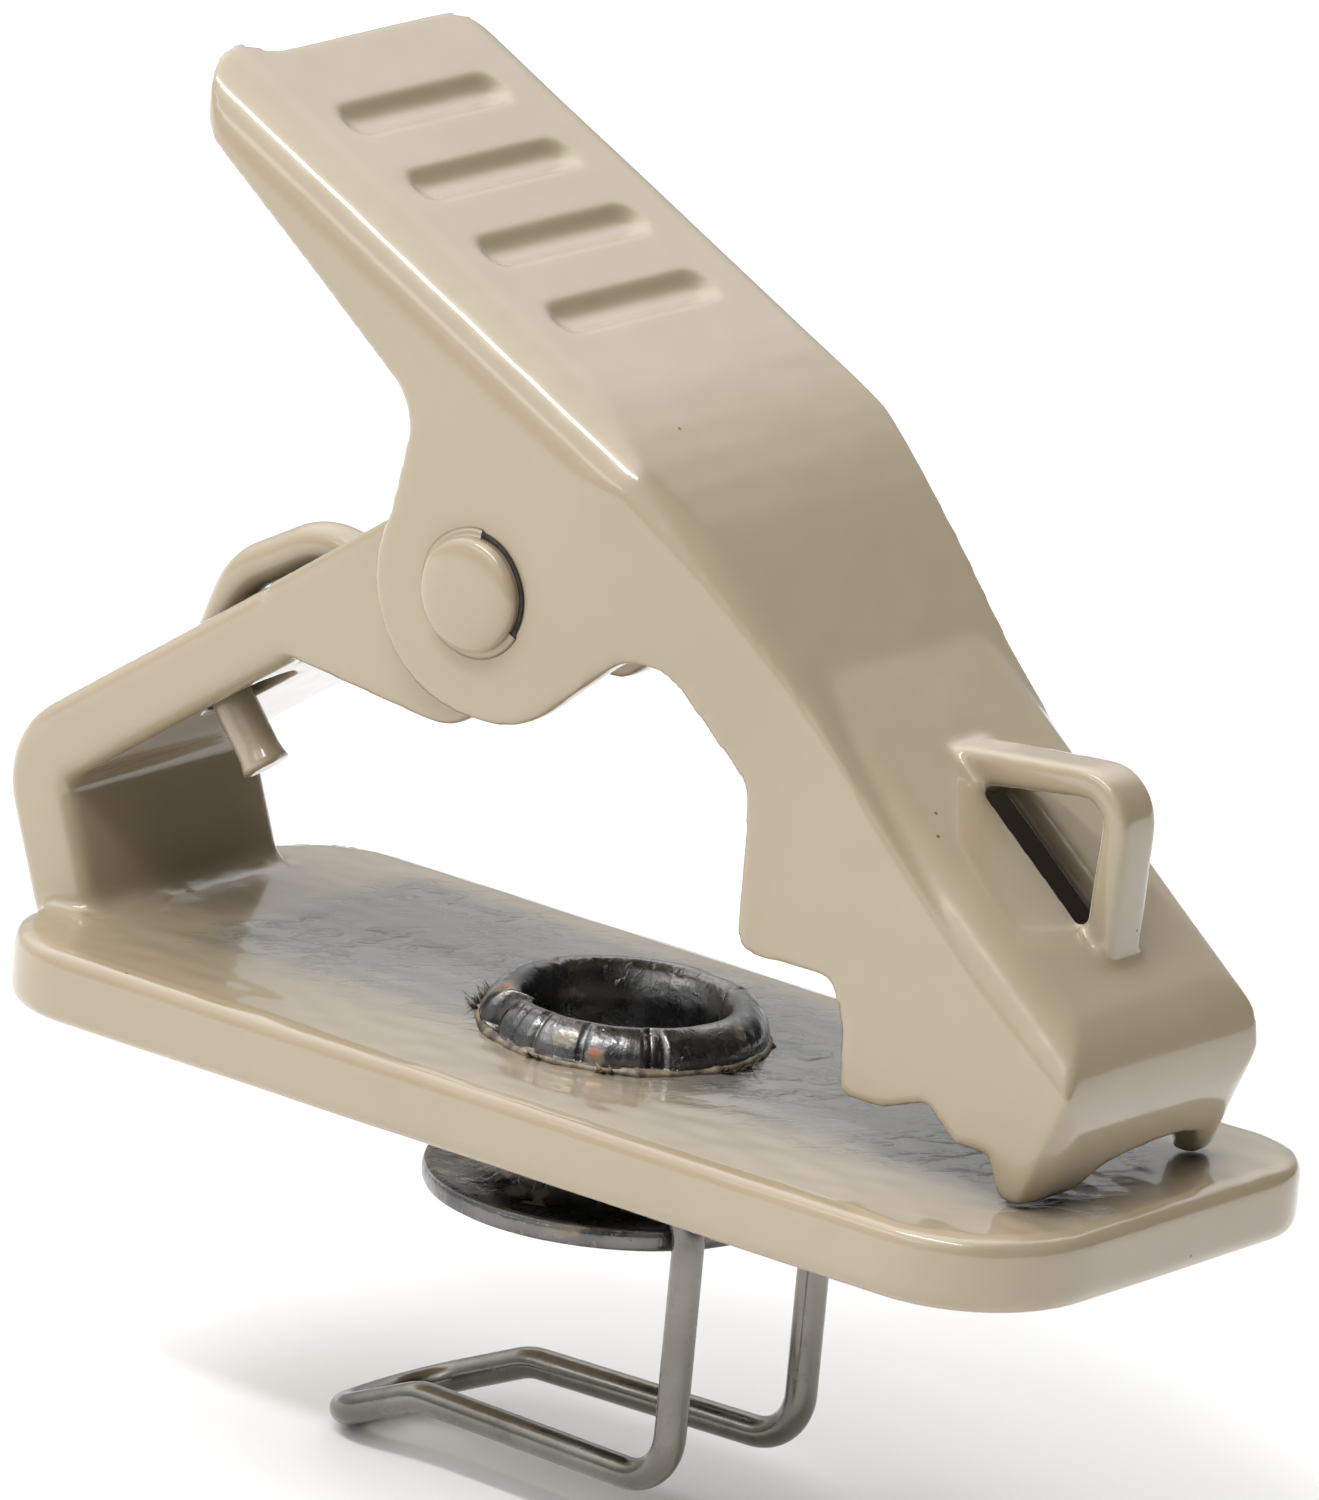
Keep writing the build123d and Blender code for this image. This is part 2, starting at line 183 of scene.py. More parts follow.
def enamel(name, wrinkled):
    """Glossy beige paint with painted shade in crevices and marked hollows; where wrinkled, the
    top is rippled and has a painted grey sheen and shade.
    """
    n = Nodes(name)
    cloud = n.spread(n.noise((0.16, 0.16, 0.16), 2), 0.3, 0.7)
    colour = n.blend(cloud, (0.388, 0.317, 0.213), (0.416, 0.342, 0.234))
    mottle = n.spread(n.noise((1.0, 1.0, 1.0), 2, 0.5), 0.35, 0.75, 0.0, 0.12)
    colour = n.blend(mottle, colour, (0.357, 0.284, 0.19))
    speck = n.spread(n.cells((1.1, 1.1, 1.1)), 0.05, 0.035)
    rare = n.spread(n.noise((0.45, 0.45, 0.45), 1), 0.6, 0.64)
    colour = n.blend(n.math("MULTIPLY", speck, rare), colour, (0.12, 0.08, 0.05))
    gloss = n.spread(n.noise((0.7, 0.7, 0.7), 3), 0.3, 0.7, 0.19, 0.27)
    peel = n.bump(n.noise((0.9, 0.9, 0.9), 1, 0.4), 0.03)
    if wrinkled:
        # Painted sheen and shade: the plate's top is made grey where it reflects the sky and lies
        # under the upper jaw.
        up = n.up_mask(0.85, 0.98)
        sheen_and_shade = n.math("MULTIPLY", up, n.attribute("sheen_and_shade"))
        colour = n.blend(sheen_and_shade, colour, (0.205, 0.203, 0.186))
        ripples = n.noise(
            (1.25, 1.25, 1.25), 3, 0.5, 0.3, turned=(0, 0, radians(-55)), stretch=(0.95, 1.7, 1.0),
        )
        ripples = n.spread(ripples, 0.48, 0.75)
        worn = n.spread(n.noise((0.35, 0.4, 0.35), 2), 0.38, 0.58, 0.08, 1.0)
        height = n.math("MULTIPLY", n.math("MULTIPLY", ripples, sheen_and_shade), worn)
        peel = n.bump(height, 0.13, peel)
    shade = n.attribute("shade")
    colour = n.blend(shade, colour, (0.055, 0.04, 0.026))
    coat = n.spread(shade, 0.0, 0.8, 0.8, 0.0)
    shine = n.spread(shade, 0.0, 0.8, 0.5, 0.05)
    # Painted shade: the colour goes dark brown in crevices, by ambient occlusion.
    colour = n.blend(n.crevice_shade(2.6, 0.15, 0.75, 0.75), colour, (0.07, 0.054, 0.034))
    return n.wire_up(
        Base_Color=colour, Roughness=gloss, Normal=peel, IOR=1.5,
        Coat_Weight=coat, Coat_Roughness=0.06, Specular_IOR_Level=shine,
    )


def dark_metal(name):
    """Blackened metal with light scratches, chips of paint and some bare copper."""
    n = Nodes(name)
    patches = n.spread(n.noise((0.6, 0.6, 0.6), 2, 0.5), 0.35, 0.7)
    colour = n.blend(patches, (0.125, 0.125, 0.126), (0.21, 0.208, 0.204))
    scratch = n.spread(n.noise((7.0, 2.2, 2.6), 3, 0.6, 0.8), 0.62, 0.72, 0.0, 0.7)
    colour = n.blend(scratch, colour, (0.4, 0.38, 0.35))
    chipped = n.spread(n.noise((0.8, 1.0, 1.2), 3, 0.55), 0.63, 0.67, 0.0, 0.8)
    colour = n.blend(chipped, colour, (0.27, 0.225, 0.16))
    copper = n.spread(n.noise((0.8, 1.0, 1.0), 2, 0.5), 0.71, 0.73)
    colour = n.blend(copper, colour, (0.4, 0.17, 0.11))
    gloss = n.spread(n.noise((1.6, 1.6, 1.6), 3), 0.3, 0.7, 0.18, 0.38)
    rough = n.bump(n.noise((2.0, 2.0, 2.0), 3, 0.55), 0.045)
    rough = n.bump(scratch, 0.015, rough)
    bare = n.spread(chipped, 0.0, 1.0, 0.95, 0.25)
    return n.wire_up(Base_Color=colour, Roughness=gloss, Normal=rough, Metallic=bare)


def steel_wire(name):
    """Drawn stainless wire, slightly stained."""
    n = Nodes(name)
    tone = n.spread(n.noise((0.5, 0.5, 0.5), 3), 0.3, 0.7)
    colour = n.blend(tone, (0.17, 0.16, 0.142), (0.25, 0.238, 0.215))
    stain = n.spread(n.noise((1.7, 1.7, 1.7), 4, 0.65), 0.56, 0.72, 0.0, 0.6)
    colour = n.blend(stain, colour, (0.13, 0.12, 0.105))
    gloss = n.spread(n.noise((1.2, 1.2, 4.0), 3), 0.3, 0.7, 0.16, 0.3)
    drawn = n.bump(n.noise((8.0, 8.0, 0.9), 3, 0.5), 0.006)
    return n.wire_up(Base_Color=colour, Roughness=gloss, Normal=drawn, Metallic=1.0)


def torn_edge(name):
    """Broken paint, partly down to its dark underside."""
    n = Nodes(name)
    mixed = n.spread(n.noise((2.4, 2.4, 2.4), 4, 0.6), 0.4, 0.6)
    colour = n.blend(mixed, (0.1, 0.08, 0.065), (0.36, 0.29, 0.2))
    rough = n.bump(n.noise((5.0, 5.0, 5.0), 4, 0.6), 0.03)
    return n.wire_up(Base_Color=colour, Roughness=0.45, Normal=rough)


def dark_gap(name):
    """The dirt in a crack."""
    n = Nodes(name)
    mixed = n.spread(n.noise((6.0, 6.0, 6.0), 3), 0.3, 0.7)
    colour = n.blend(mixed, (0.012, 0.01, 0.008), (0.05, 0.04, 0.03))
    return n.wire_up(Base_Color=colour, Roughness=0.7)


def floor_paint(name):
    n = Nodes(name)
    grain = n.spread(n.noise((0.02, 0.02, 0.02), 3), 0.3, 0.7)
    colour = n.blend(grain, (0.89, 0.89, 0.888), (0.91, 0.91, 0.908))
    return n.wire_up(Base_Color=colour, Roughness=0.85)


ENAMEL = enamel("beige_enamel_look", False)
PLATE_ENAMEL = enamel("wrinkled_enamel_look", True)
DARK_METAL = dark_metal("dark_eyelet_look")
WIRE_STEEL = steel_wire("cradle_wire_look")
TORN = torn_edge("torn_enamel_look")
GAP = dark_gap("dark_gap_look")


# ---- mesh helpers ---------------------------------------------------------------------
def new_piece(name, mesh, materials, body, slot, *nodes):
    """Finishes a mesh made in millimetres and puts it in the frame."""
    mesh.transform(Matrix.Scale(MM, 4))
    mesh.polygons.foreach_set("use_smooth", [True] * len(mesh.polygons))
    mesh.update()
    piece = bpy.data.objects.new(name, mesh)
    bpy.context.scene.collection.objects.link(piece)
    for material in materials:
        mesh.materials.append(material)
    if body:
        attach(piece, body)
    if nodes:
        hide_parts(*nodes)
    return piece


def applied(obj):
    """The object's mesh with its modifiers applied. The object is removed."""
    bpy.context.view_layer.update()
    graph = bpy.context.evaluated_depsgraph_get()
    mesh = bpy.data.meshes.new_from_object(obj.evaluated_get(graph), depsgraph=graph)
    bpy.data.objects.remove(obj)
    mesh.materials.clear()
    return mesh


def enamelled(node, voxel, passes):
    """A CAD node's shape under a coat of paint: remeshed fine, with soft edges, in millimetres."""
    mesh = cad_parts[node].data.copy()
    mesh.transform(Matrix.Scale(1 / MM, 4))
    obj = bpy.data.objects.new("work", mesh)
    bpy.context.scene.collection.objects.link(obj)
    remesh = obj.modifiers.new("remesh", "REMESH")
    remesh.mode = "VOXEL"
    remesh.voxel_size = voxel
    smooth = obj.modifiers.new("smooth", "SMOOTH")
    smooth.factor = 0.5
    smooth.iterations = passes
    return applied(obj)


def mesh_from(bm, name):
    """A mesh of the bmesh, with its faces turned outwards. The bmesh is freed."""
    bmesh.ops.recalc_face_normals(bm, faces=bm.faces)
    mesh = bpy.data.meshes.new(name)
    bm.to_mesh(mesh)
    bm.free()
    return mesh


def bridge(bm, low, high):
    """A closed band of faces between two rings with the same number of points."""
    band = []
    for step in range(len(low)):
        following = (step + 1) % len(low)
        band.append(bm.faces.new((low[step], low[following], high[following], high[step])))
    return band


def read_points(mesh):
    """The places and normals of the mesh's points."""
    points = np.empty(len(mesh.vertices) * 3)
    mesh.vertices.foreach_get("co", points)
    normals = np.empty(len(mesh.vertices) * 3)
    mesh.vertices.foreach_get("normal", normals)
    return points.reshape(-1, 3), normals.reshape(-1, 3)


def write_points(mesh, points):
    mesh.vertices.foreach_set("co", points.ravel())
    mesh.update()


def write_values(mesh, name, values):
    """Stores one value with each point, for a material to read."""
    layer = mesh.attributes.new(name, "FLOAT", "POINT")
    layer.data.foreach_set("value", values)


def ramp(value, low, high):
    """0 at low, 1 at high, clamped."""
    return min(1.0, max(0.0, (value - low) / (high - low)))


def wave(point, per_mm, seed=0.0):
    """Smooth noise from -1 to 1."""
    x, y, z = point
    return noise.noise((x * per_mm[0] + seed, y * per_mm[1] + seed, z * per_mm[2] - seed))


def tube(points, radius, sides, taper=None):
    """A round bar along a smooth list of points. The taper scales the radius by index."""
    bm = bmesh.new()
    rings = []
    normal = None
    for index, point in enumerate(points):
        before = points[max(index - 1, 0)]
        after = points[min(index + 1, len(points) - 1)]
        heading = (after - before).normalized()
        if normal is None:
            normal = heading.orthogonal().normalized()
        normal = (normal - heading * normal.dot(heading)).normalized()
        side = heading.cross(normal)
        size = radius if taper is None else radius * taper(index)
        ring = []
        for step in range(sides):
            angle = 2 * pi * step / sides
            ring.append(bm.verts.new(point + (normal * cos(angle) + side * sin(angle)) * size))
        rings.append(ring)
    for low, high in zip(rings, rings[1:]):
        bridge(bm, low, high)
    bm.faces.new(list(reversed(rings[0])))
    bm.faces.new(rings[-1])
    return mesh_from(bm, "tube")


def rounded_path(corners, radii, step):
    """Points along a polyline whose inner corners are rounded to the given radii."""
    corners = [Vector(corner) for corner in corners]
    path = [corners[0]]
    for before, corner, after, radius in zip(corners, corners[1:], corners[2:], radii):
        inward = (before - corner).normalized()
        outward = (after - corner).normalized()
        turn = pi - inward.angle(outward)
        trim = radius * tan(turn / 2)
        start, end = corner + inward * trim, corner + outward * trim
        centre = corner + (inward + outward).normalized() * hypot(radius, trim)
        first, last = start - centre, end - centre
        pieces = max(6, ceil(radius * turn / step))
        for part in range(pieces + 1):
            share = part / pieces
            mixed = first * sin((1 - share) * turn) + last * sin(share * turn)
            path.append(centre + mixed / sin(turn))
    path.append(corners[-1])
    dense = [path[0]]
    for a, b in zip(path, path[1:]):
        parts = max(1, ceil((b - a).length / step))
        for part in range(1, parts + 1):
            dense.append(a.lerp(b, part / parts))
    return [p for p, q in zip(dense, dense[1:]) if (q - p).length > 1e-4] + [dense[-1]]


# ---- jaws -----------------------------------------------------------------------------
NOSE_TIP, NOSE_SLOPE = (13.1, 2.88), 0.8
PAINT_SWELL = 0.02


def plate_sheen_and_shade(point):
    """How much painted grey sheen and shade the plate's top gets, as reflection and shade under
    the upper jaw: all but its edges and its root.
    """
    x, y, z = point
    edge = 0.25 * wave(point, (0.5, 0.5, 0.5), 2.0)
    from_root = ramp(x + edge, -9.4, -8.6)
    from_near = ramp(y + edge, -3.4, -1.0)
    from_far = ramp(-y + edge, -5.1, -3.9)
    from_front = ramp(-x - 0.5 * y + edge, -12.6, -11.2)
    return from_root * from_near * from_far * from_front * (abs(z) < 0.4)


def hollow_shade(point, normal):
    """Dark inside the nose, seen through the slot under the cable loop."""
    x, y, z = point
    depth = (NOSE_TIP[1] + NOSE_SLOPE * (NOSE_TIP[0] - x) - z) / hypot(1, NOSE_SLOPE)
    middle = y - JAW_SHIFT
    on_slot = -0.5 < middle < 1.1 and depth < 0.85 and x < 11.2
    slot_wall = 0.75 * ramp(depth, 0.1, 0.45) * on_slot
    inner_wall = ramp(-middle * normal[1], 0.3, 0.8) * ramp(depth, 0.5, 0.7) * (abs(middle) > 1.2)
    underside = ramp(-normal[2], 0.3, 0.6) * ramp(depth, 0.4, 0.6) * (depth < 1.5 and x < 12.0)
    return max(slot_wall, inner_wall, underside) * ramp(z, 1.6, 3.0) * ramp(x, 4.9, 5.6)


def lower_jaw():
    """The lower jaw's shape with a slightly uneven coat, wavier on the plate's top."""
    mesh = enamelled("lower_jaw", 0.1, 9)
    points, normals = read_points(mesh)
    for index, (point, normal) in enumerate(zip(points, normals)):
        swell = PAINT_SWELL * wave(point, (0.3, 0.3, 0.3), 3.0)
        if normal[2] > 0.9 and abs(point[2]) < 0.3:
            swell = PAINT_SWELL * wave(point, (0.9, 1.7, 1.0), 8.0) - 0.02
        points[index] = point + normal * (swell - 0.02)
    write_points(mesh, points)
    # Painted grey sheen and shade for the plate's top, read by the material.
    write_values(mesh, "sheen_and_shade", [plate_sheen_and_shade(point) for point in points])
    new_piece("lower_jaw_enamelled", mesh, [PLATE_ENAMEL], "base", "beige_enamel", "lower_jaw")


def upper_jaw():
    """The upper jaw's shape with a slightly uneven coat."""
    mesh = enamelled("upper_jaw", 0.09, 10)
    points, normals = read_points(mesh)
    for index, (point, normal) in enumerate(zip(points, normals)):
        swell = PAINT_SWELL * wave(point, (0.28, 0.28, 0.28), 5.0) - 0.015
        points[index] = point + normal * swell
    write_points(mesh, points)
    write_values(mesh, "shade", [hollow_shade(p, n) for p, n in zip(points, normals)])
    new_piece("upper_jaw_enamelled", mesh, [ENAMEL], "lever", "beige_enamel", "upper_jaw")


# ---- hinge rivet ----------------------------------------------------------------------
HEAD_PROFILE = [
    (1.12, -0.02), (1.145, 0.06), (1.15, 0.14), (1.135, 0.22), (1.09, 0.28), (1.01, 0.325),
    (0.89, 0.36), (0.74, 0.385), (0.57, 0.4), (0.39, 0.41), (0.2, 0.415),
]
HEAD_FOOT_R, HEAD_SKIRT = 1.145, 0.16
SHANK_R = 0.745
CRACK = (radians(-30), radians(85))


def in_crack(angle, side):
    """Only the near head's paint has cracked."""
    angle -= 2 * pi if angle > pi else 0
    return side < 0 and CRACK[0] < angle < CRACK[1]


def rivet_head(bm, side):
    """A domed head on the outside of an ear, with painted foot and one dark crack."""
    steps = 96
    centre = Vector((PIVOT[0], JAW_SHIFT + side * GRIP_HALF, PIVOT[1]))
    skirt = [(HEAD_FOOT_R + HEAD_SKIRT, 0.005), (HEAD_FOOT_R + HEAD_SKIRT * 0.45, 0.02)]
    rings = []
    for level, (radius, height) in enumerate(skirt + HEAD_PROFILE):
        ring = []
        for step in range(steps):
            angle = 2 * pi * step / steps
            cracked = in_crack(angle, side)
            uneven = 1 + 0.012 * noise.noise((cos(angle) * 1.7, sin(angle) * 1.7, side * 3.0))
            r, h = radius * uneven, height
            if level < len(skirt) and cracked:
                r -= 0.05
                h -= 0.002
            if level == len(skirt) and not cracked:
                h += 0.05
            ring.append(bm.verts.new(centre + Vector((r * cos(angle), side * h, r * sin(angle)))))
        rings.append(ring)
    for level, (low, high) in enumerate(zip(rings, rings[1:])):
        for step, face in enumerate(bridge(bm, low, high)):
            if level < len(skirt) and in_crack(2 * pi * (step + 0.5) / steps, side):
                face.material_index = 1
    bm.faces.new(rings[-1])
    bm.faces.new(list(reversed(rings[0])))


def hinge_rivet():
    """Shank through the ears, with a painted head on each side."""
    bm = bmesh.new()
    for side in (-1, 1):
        rivet_head(bm, side)
    place = Matrix.Translation((PIVOT[0], JAW_SHIFT, PIVOT[1]))
    bmesh.ops.create_cone(
        bm, cap_ends=True, segments=48, radius1=SHANK_R, radius2=SHANK_R, depth=2 * GRIP_HALF,
        matrix=place @ Matrix.Rotation(pi / 2, 4, "X"),
    )
    mesh = mesh_from(bm, "rivet")
    new_piece("hinge_rivet_painted", mesh, [ENAMEL, GAP], "base", "beige_enamel", "hinge_rivet")


# ---- torsion spring -------------------------------------------------------------------
SPRING_R, COIL_R, TURNS = 0.45, 1.35, 3
COIL_PITCH, COIL_EASE = 1.06, 0.15
HOOK = [(-8.05, 3.65), (-9.68, 5.57), (-9.02, 7.45), (-7.02, 8.6)]
ARM_TIP = (-7.15, 15.58)


def tangent_angle(point, side):
    """Where on the coil a straight leg to the point leaves it."""
    dx, dz = point[0] - PIVOT[0], point[1] - PIVOT[1]
    return atan2(dz, dx) + side * acos(COIL_R / hypot(dx, dz))


def on_coil(angle, y):
    return Vector((PIVOT[0] + COIL_R * cos(angle), y, PIVOT[1] + COIL_R * sin(angle)))


def torsion_spring():
    """One wire: hooked leg over the roof, coil on the rivet, straight leg under the grip."""
    enter, leave = tangent_angle(HOOK[-1], 1), tangent_angle(ARM_TIP, -1)
    total = TURNS + (degrees(leave - enter) % 360) / 360
    half = total * COIL_PITCH / 2

    def eased(turned):
        """Turns counted for the pitch, which starts and ends gently."""
        if turned < COIL_EASE:
            return turned ** 2 / (2 * COIL_EASE)
        if total - turned < COIL_EASE:
            return total - COIL_EASE - (total - turned) ** 2 / (2 * COIL_EASE)
        return turned - COIL_EASE / 2

    corners = [(x, -half, z) for x, z in HOOK] + [on_coil(enter, -half)]
    path = rounded_path(corners, [0.65, 1.6, 1.6], 0.12)
    steps = 260
    for step in range(1, steps):
        turned = total * step / steps
        y = half * (2 * eased(turned) / (total - COIL_EASE) - 1)
        path.append(on_coil(enter + 2 * pi * turned, y))
    end = Vector((ARM_TIP[0], half, ARM_TIP[1]))
    start = on_coil(leave, half)
    path += [start.lerp(end, part / 60) for part in range(61)]

    def burr(index):
        """The sheared end is slightly upset."""
        return 1.0 + 0.13 * max(0.0, 1 - index / 2.5)

    mesh = tube(path, SPRING_R - 0.01, 28, burr)
    piece = new_piece("torsion_spring_painted", mesh, [ENAMEL], None, "painted_spring")
    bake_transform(piece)
    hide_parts("torsion_spring")


# ---- eyelet ---------------------------------------------------------------------------
EYELET = [
    (2.3, -1.62), (2.3, -2.93), (3.56, -2.96), (3.7, -3.02), (3.735, -3.14), (3.72, -3.3),
    (3.62, -3.41), (3.3, -3.44), (2.7, -3.43), (2.35, -3.33), (2.05, -3.1), (1.88, -2.8),
    (1.86, -2.0), (1.86, -1.0), (1.86, -0.2), (1.89, 0.1), (1.96, 0.35), (2.06, 0.57),
    (2.18, 0.7), (2.31, 0.755), (2.45, 0.73), (2.6, 0.63), (2.73, 0.48), (2.82, 0.3),
    (2.85, 0.14), (2.83, 0.01), (2.3, 0.0),
]
# Radial splits of the clinched rim: middle angle, half width in degrees, depth.
SPLITS = [
    (-122.0, 8.0, 0.62), (-40.0, 5.0, 0.4), (-92.0, 1.6, 0.14), (-70.0, 1.3, 0.12),
    (-104.0, 1.0, 0.1), (168.0, 4.0, 0.25), (60.0, 2.0, 0.15),
]


def smooth_profile(points, parts):
    """Points of a Catmull-Rom curve through the profile."""
    padded = [points[0]] + points + [points[-1]]
    curve = []
    for a, b, c, d in zip(padded, padded[1:], padded[2:], padded[3:]):
        for part in range(parts):
            t = part / parts
            curve.append(tuple(
                0.5 * (2 * q + (r - p) * t + (2 * p - 5 * q + 4 * r - s) * t * t
                       + (3 * q - p - 3 * r + s) * t ** 3)
                for p, q, r, s in zip(a, b, c, d)
            ))
    return curve + [points[-1]]


def eyelet():
    """The tubular rivet turned from its profile, with an uneven and split clinched rim."""
    bm = bmesh.new()
    steps = 240
    profile = smooth_profile(EYELET, 3)
    rings = []
    for radius, height in profile:
        ring = []
        for step in range(steps):
            angle = 2 * pi * step / steps
            r, z = radius, height
            if z > 0.05 and r > 2.0:
                lift = min(1.0, (r - 2.0) / 0.5)
                rough = noise.noise((cos(angle) * 4, sin(angle) * 4, z * 1.5))
                pleat = noise.noise((cos(angle) * 11, sin(angle) * 11, 2.0))
                r += lift * (0.04 * rough + 0.02 * pleat)
                z += lift * 0.03 * noise.noise((cos(angle) * 3, sin(angle) * 3, 7.0)) - 0.02 * lift
                for middle, width, depth in SPLITS:
                    off = (degrees(angle) - middle + 180) % 360 - 180
                    if abs(off) < width:
                        bite = (1 - abs(off) / width) ** 0.6
                        r -= lift * depth * bite
                        z -= lift * 0.25 * depth * bite
            elif r > 3.0:
                r += 0.012 * noise.noise((cos(angle) * 5, sin(angle) * 5, z))
                r = min(r, 3.74)
            ring.append(bm.verts.new((r * cos(angle), r * sin(angle), z)))
        rings.append(ring)
    for low, high in zip(rings, rings[1:] + rings[:1]):
        bridge(bm, low, high)
    mesh = mesh_from(bm, "eyelet")
    new_piece("eyelet_clinched", mesh, [DARK_METAL], "base", "dark_eyelet", "eyelet")


# Loose shards round the rim: middle angle in degrees and distance from the axis.
SHARD_CLUSTERS = [
    (-8, 3.0), (-2, 3.05), (4, 3.0), (-150, 3.0), (-156, 3.05), (-162, 3.1), (-168, 3.05),
    (-174, 3.0), (-60, 2.98), (-88, 2.95),
]
SHARDS_EACH = 4


def shard(bm, draw, middle, distance):
    """One thin splinter of enamel, pointing outwards and up."""
    angle = radians(middle + draw.uniform(-4, 4))
    base = Vector((distance * cos(angle), distance * sin(angle), -0.03))
    out = Vector((cos(angle), sin(angle), 0))
    side = Vector((-sin(angle), cos(angle), 0))
    length = draw.uniform(0.2, 0.42)
    tip = base + out * length * draw.uniform(0.2, 1.0)
    tip += Vector((0, 0, length * draw.uniform(0.2, 0.8)))
    tip += side * draw.uniform(-0.12, 0.12)
    width = draw.uniform(0.05, 0.1)
    foot = [base - side * width, base + side * width, base - out * 0.06]
    verts = [bm.verts.new(corner) for corner in foot + [tip]]
    for a, b, c in ((0, 1, 2), (0, 3, 1), (1, 3, 2), (2, 3, 0)):
        bm.faces.new((verts[a], verts[b], verts[c]))


def torn_enamel_ring():
    """Torn enamel pushed up round the clinched rim, with a few loose shards."""
    bm = bmesh.new()
    steps = 200
    rings = [[], [], [], []]
    for step in range(steps):
        angle = 2 * pi * step / steps
        ragged = noise.noise((cos(angle) * 5, sin(angle) * 5, 4.0))
        fine = noise.noise((cos(angle) * 17, sin(angle) * 17, 9.0))
        reach = 2.93 + 0.14 * max(0.0, ragged + 0.2) + 0.08 * max(0.0, fine)
        crest = 0.045 + 0.05 * max(0.0, fine + ragged)
        for ring, (r, z) in zip(rings, (
            (2.7, -0.04), (2.82, crest + 0.02), ((2.82 + reach) / 2, crest), (reach, -0.045)
        )):
            ring.append(bm.verts.new((r * cos(angle), r * sin(angle), z)))
    for low, high in zip(rings, rings[1:] + rings[:1]):
        bridge(bm, low, high)
    draw = random.Random(11)
    for middle, distance in SHARD_CLUSTERS:
        for _ in range(SHARDS_EACH):
            shard(bm, draw, middle, distance)
    mesh = mesh_from(bm, "torn")
    new_piece("torn_enamel_round_eyelet", mesh, [TORN], "base", "beige_enamel")


# ---- microphone cradle ----------------------------------------------------------------
WIRE_R, WRAP_R, WRAP_Z = 0.325, 2.675, -2.2
LEG = (3.6, 2.1)
RUN_Z = -8.1
BUTT_GAP = 3.0                  # degrees from the wire's end to the joint behind the barrel


def mic_cradle():
    """One wire: half a turn round the barrel on each side, legs, lower runs and flared end."""
    leave = atan2(-LEG[1], LEG[0]) - acos(WRAP_R / hypot(*LEG))
    first = radians(-180 + BUTT_GAP)
    half = []
    steps = 70
    for step in range(steps + 1):
        angle = first + (leave - first) * step / steps
        half.append(Vector((WRAP_R * cos(angle), WRAP_R * sin(angle), WRAP_Z)))
    corners = [
        half[-1], (LEG[0], -LEG[1], WRAP_Z), (LEG[0], -LEG[1], RUN_Z),
        (-2.85, -1.75, RUN_Z), (-5.45, -1.5, -9.25), (-5.45, 0, -9.25),
    ]
    half += rounded_path(corners, [0.9, 1.05, 1.3, 1.3], 0.1)[1:]
    other = [Vector((p.x, -p.y, p.z)) for p in reversed(half[:-1])]
    mesh = tube(half + other, WIRE_R - 0.003, 28)
    new_piece("mic_cradle_wire", mesh, [WIRE_STEEL], "cradle", "cradle_wire", "mic_cradle")


# ---- surroundings ---------------------------------------------------------------------
CAMERA_PLACE = Vector((204.56, -274.00, 107.81)) * MM
CAMERA_AXES = (
    (0.78227, 0.61650, 0.08893), (-0.24466, 0.17282, 0.95404), (0.57285, -0.76813, 0.28604),
)
LENS = 437.8
LIGHT_AIM = Vector((0.001, 0, 0.004))

# Parts of the sky: a direction, two cosines from it, and the strength at each.
SKY = [
    ((0, 0, 1), 0.15, 0.85, 0.7, 2.7),
    ((0.97, 0.24, 0), -0.15, 0.5, 1.0, 0.04),
    ((0, -1, 0), 0.0, 0.8, 1.0, 0.6),
    ((-0.55, 0.74, 0.38), 0.75, 0.98, 1.0, 0.7),
]


def camera():
    """A long lens, from the near side, in front and above."""
    data = bpy.data.cameras.new("camera")
    data.lens = LENS
    data.sensor_width = 36
    data.clip_start, data.clip_end = 0.01, 20
    eye = bpy.data.objects.new("camera", data)
    axes = Matrix(CAMERA_AXES).transposed().to_4x4()
    eye.matrix_world = Matrix.Translation(CAMERA_PLACE) @ axes
    bpy.context.scene.collection.objects.link(eye)
    bpy.context.scene.camera = eye


def soft_light(name, place, size, power):
    """A white rectangle of light aimed at the object."""
    data = bpy.data.lights.new(name, "AREA")
    data.shape = "RECTANGLE"
    data.size, data.size_y = size
    data.energy = power
    lamp = bpy.data.objects.new(name, data)
    lamp.location = place
    lamp.rotation_euler = (LIGHT_AIM - Vector(place)).to_track_quat("-Z", "Y").to_euler()
    bpy.context.scene.collection.objects.link(lamp)


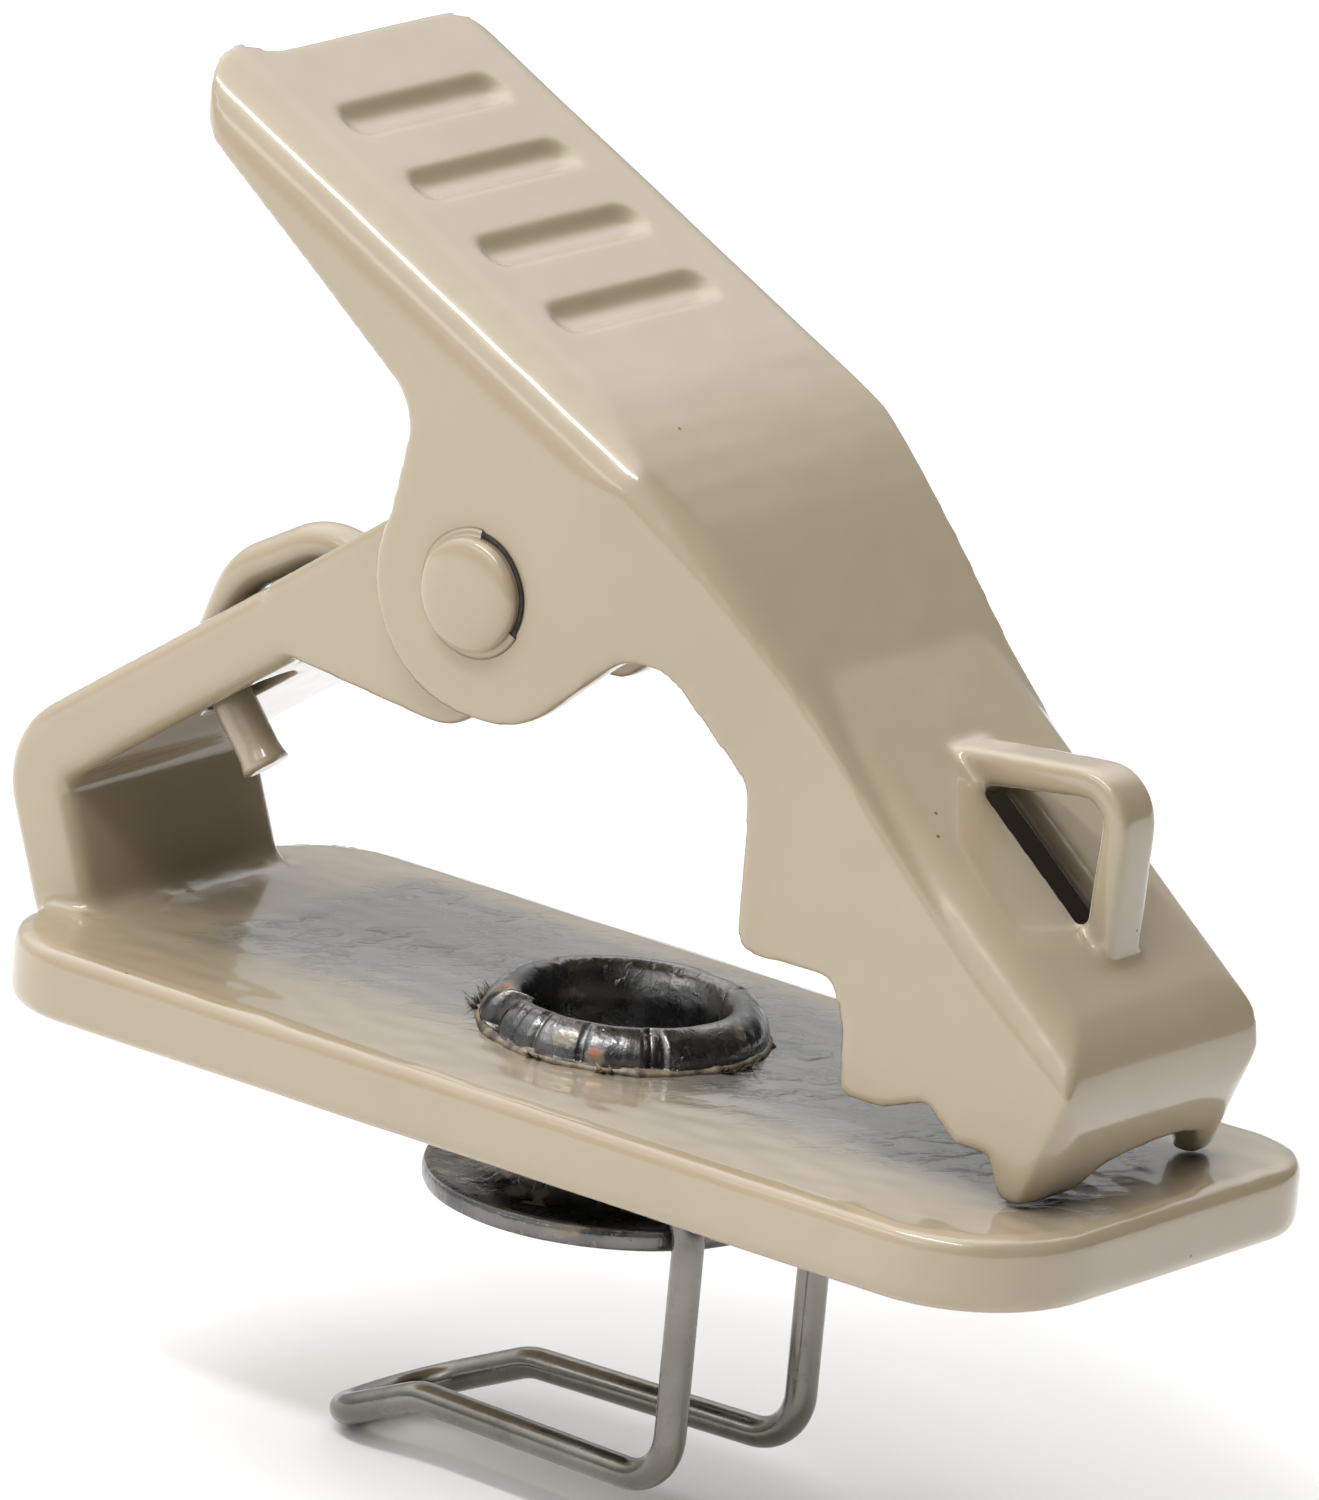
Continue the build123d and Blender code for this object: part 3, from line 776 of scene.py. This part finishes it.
def studio_sky():
    """A light tent: brightest overhead, dim towards +X, slightly dim on both sides."""
    world = bpy.data.worlds.new("studio")
    bpy.context.scene.world = world
    world.use_nodes = True
    tree = world.node_tree
    direction = tree.nodes.new("ShaderNodeTexCoord").outputs["Generated"]
    level = None
    for axis, low, high, at_low, at_high in SKY:
        facing = tree.nodes.new("ShaderNodeVectorMath")
        facing.operation = "DOT_PRODUCT"
        facing.inputs[1].default_value = axis
        tree.links.new(direction, facing.inputs[0])
        band = tree.nodes.new("ShaderNodeMapRange")
        band.interpolation_type = "SMOOTHSTEP"
        band.inputs["From Min"].default_value = low
        band.inputs["From Max"].default_value = high
        band.inputs["To Min"].default_value = at_low
        band.inputs["To Max"].default_value = at_high
        tree.links.new(facing.outputs["Value"], band.inputs["Value"])
        if level is None:
            level = band.outputs["Result"]
        else:
            product = tree.nodes.new("ShaderNodeMath")
            product.operation = "MULTIPLY"
            tree.links.new(level, product.inputs[0])
            tree.links.new(band.outputs["Result"], product.inputs[1])
            level = product.outputs["Value"]
    background = tree.nodes["Background"]
    background.inputs["Color"].default_value = (1.0, 1.0, 1.0, 1.0)
    tree.links.new(level, background.inputs["Strength"])


def surroundings():
    """Pale floor, light tent and two strip lights."""
    bm = bmesh.new()
    bmesh.ops.create_grid(bm, x_segments=8, y_segments=8, size=3.0)
    mesh = bpy.data.meshes.new("floor")
    bm.to_mesh(mesh)
    bm.free()
    floor = bpy.data.objects.new("floor", mesh)
    floor.location.z = FLOOR_Z * MM
    mesh.materials.append(floor_paint("floor_look"))
    bpy.context.scene.collection.objects.link(floor)
    studio_sky()
    soft_light("fold_light", (-0.014, -0.165, 0.286), (0.26, 0.025), 0.42)
    soft_light("side_light", (-0.09, -0.28, 0.17), (0.22, 0.04), 0.07)
    bpy.context.scene.view_settings.view_transform = "Standard"


lower_jaw()
upper_jaw()
hinge_rivet()
torsion_spring()
eyelet()
torn_enamel_ring()
mic_cradle()
surroundings()
camera()

bpy.context.view_layer.update()
